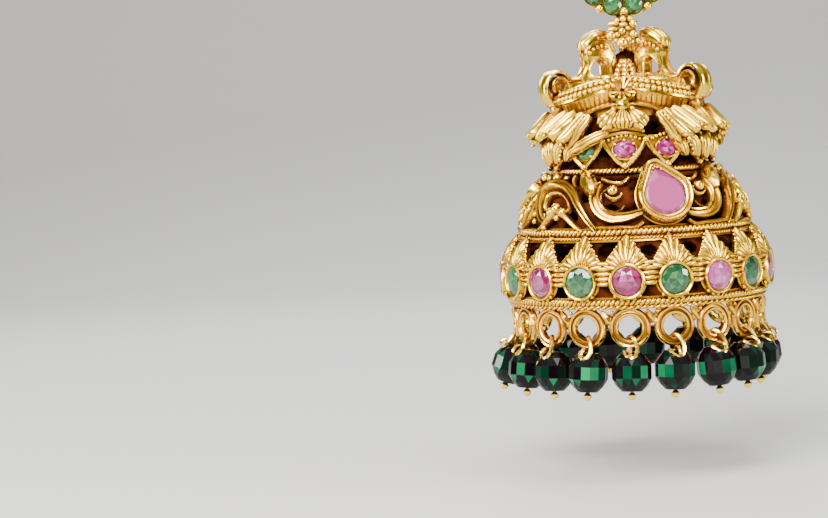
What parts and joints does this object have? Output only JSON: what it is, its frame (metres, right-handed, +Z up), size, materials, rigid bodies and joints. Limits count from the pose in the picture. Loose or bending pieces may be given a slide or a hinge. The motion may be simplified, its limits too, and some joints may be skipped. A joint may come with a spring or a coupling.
{
  "type": "jhumka earring",
  "caption": "Drop earring with a round stone-set stud, a bracketed crown, a hollow openwork bell set with stones and a fringe of faceted glass beads, hung from a link ring.",
  "frame": {"origin": "root of the ear post, at the middle of the stud's back, where the ear lobe is", "axes": "+Z up, -Y the stud's face and the wearer's side view, +Y along the ear post, +X to the right as seen from the front"},
  "size_m": [0.0303, 0.0293, 0.0487],
  "materials": {
    "gold": "polished gold plate",
    "green_stone": "cut, closed back",
    "pink_stone": "cut, closed back",
    "dark_green_bead": "faceted"
  },
  "bodies": {
    "stud": {"stud_setting": "gold", "stud_stones": "green_stone", "stud_centre_stone": "pink_stone", "ear_post": "gold"},
    "link": {"link_ring": "gold"},
    "drop": {"crown": "gold", "crown_stones_green": "green_stone", "crown_stones_pink": "pink_stone", "bell": "gold", "pear_stone_1": "pink_stone", "pear_stone_2": "pink_stone", "band_stone_01": "pink_stone", "band_stone_02": "green_stone", "band_stone_03": "pink_stone", "band_stone_04": "green_stone", "band_stone_05": "pink_stone", "band_stone_06": "green_stone", "band_stone_07": "pink_stone", "band_stone_08": "green_stone", "band_stone_09": "pink_stone", "band_stone_10": "green_stone", "band_stone_11": "pink_stone", "band_stone_12": "green_stone", "band_stone_13": "pink_stone", "band_stone_14": "green_stone", "band_stone_15": "pink_stone", "band_stone_16": "green_stone", "band_stone_17": "pink_stone", "band_stone_18": "green_stone", "bead_hangers": "gold", "bead_01": "dark_green_bead", "bead_02": "dark_green_bead", "bead_03": "dark_green_bead", "bead_04": "dark_green_bead", "bead_05": "dark_green_bead", "bead_06": "dark_green_bead", "bead_07": "dark_green_bead", "bead_08": "dark_green_bead", "bead_09": "dark_green_bead", "bead_10": "dark_green_bead", "bead_11": "dark_green_bead", "bead_12": "dark_green_bead", "bead_13": "dark_green_bead", "bead_14": "dark_green_bead", "bead_15": "dark_green_bead", "bead_16": "dark_green_bead", "bead_17": "dark_green_bead", "bead_18": "dark_green_bead"}
  },
  "joints": [
    {"name": "link_swing", "type": "hinge", "parent": "stud", "child": "link", "pos_m": [0, 0, -0.00579], "axis": [1, 0, 0], "range_deg": [-14, 30]},
    {"name": "drop_sway", "type": "hinge", "parent": "link", "child": "drop", "pos_m": [0, 0, -0.00715], "axis": [0, 1, 0], "range_deg": [-25, 25]}
  ]
}
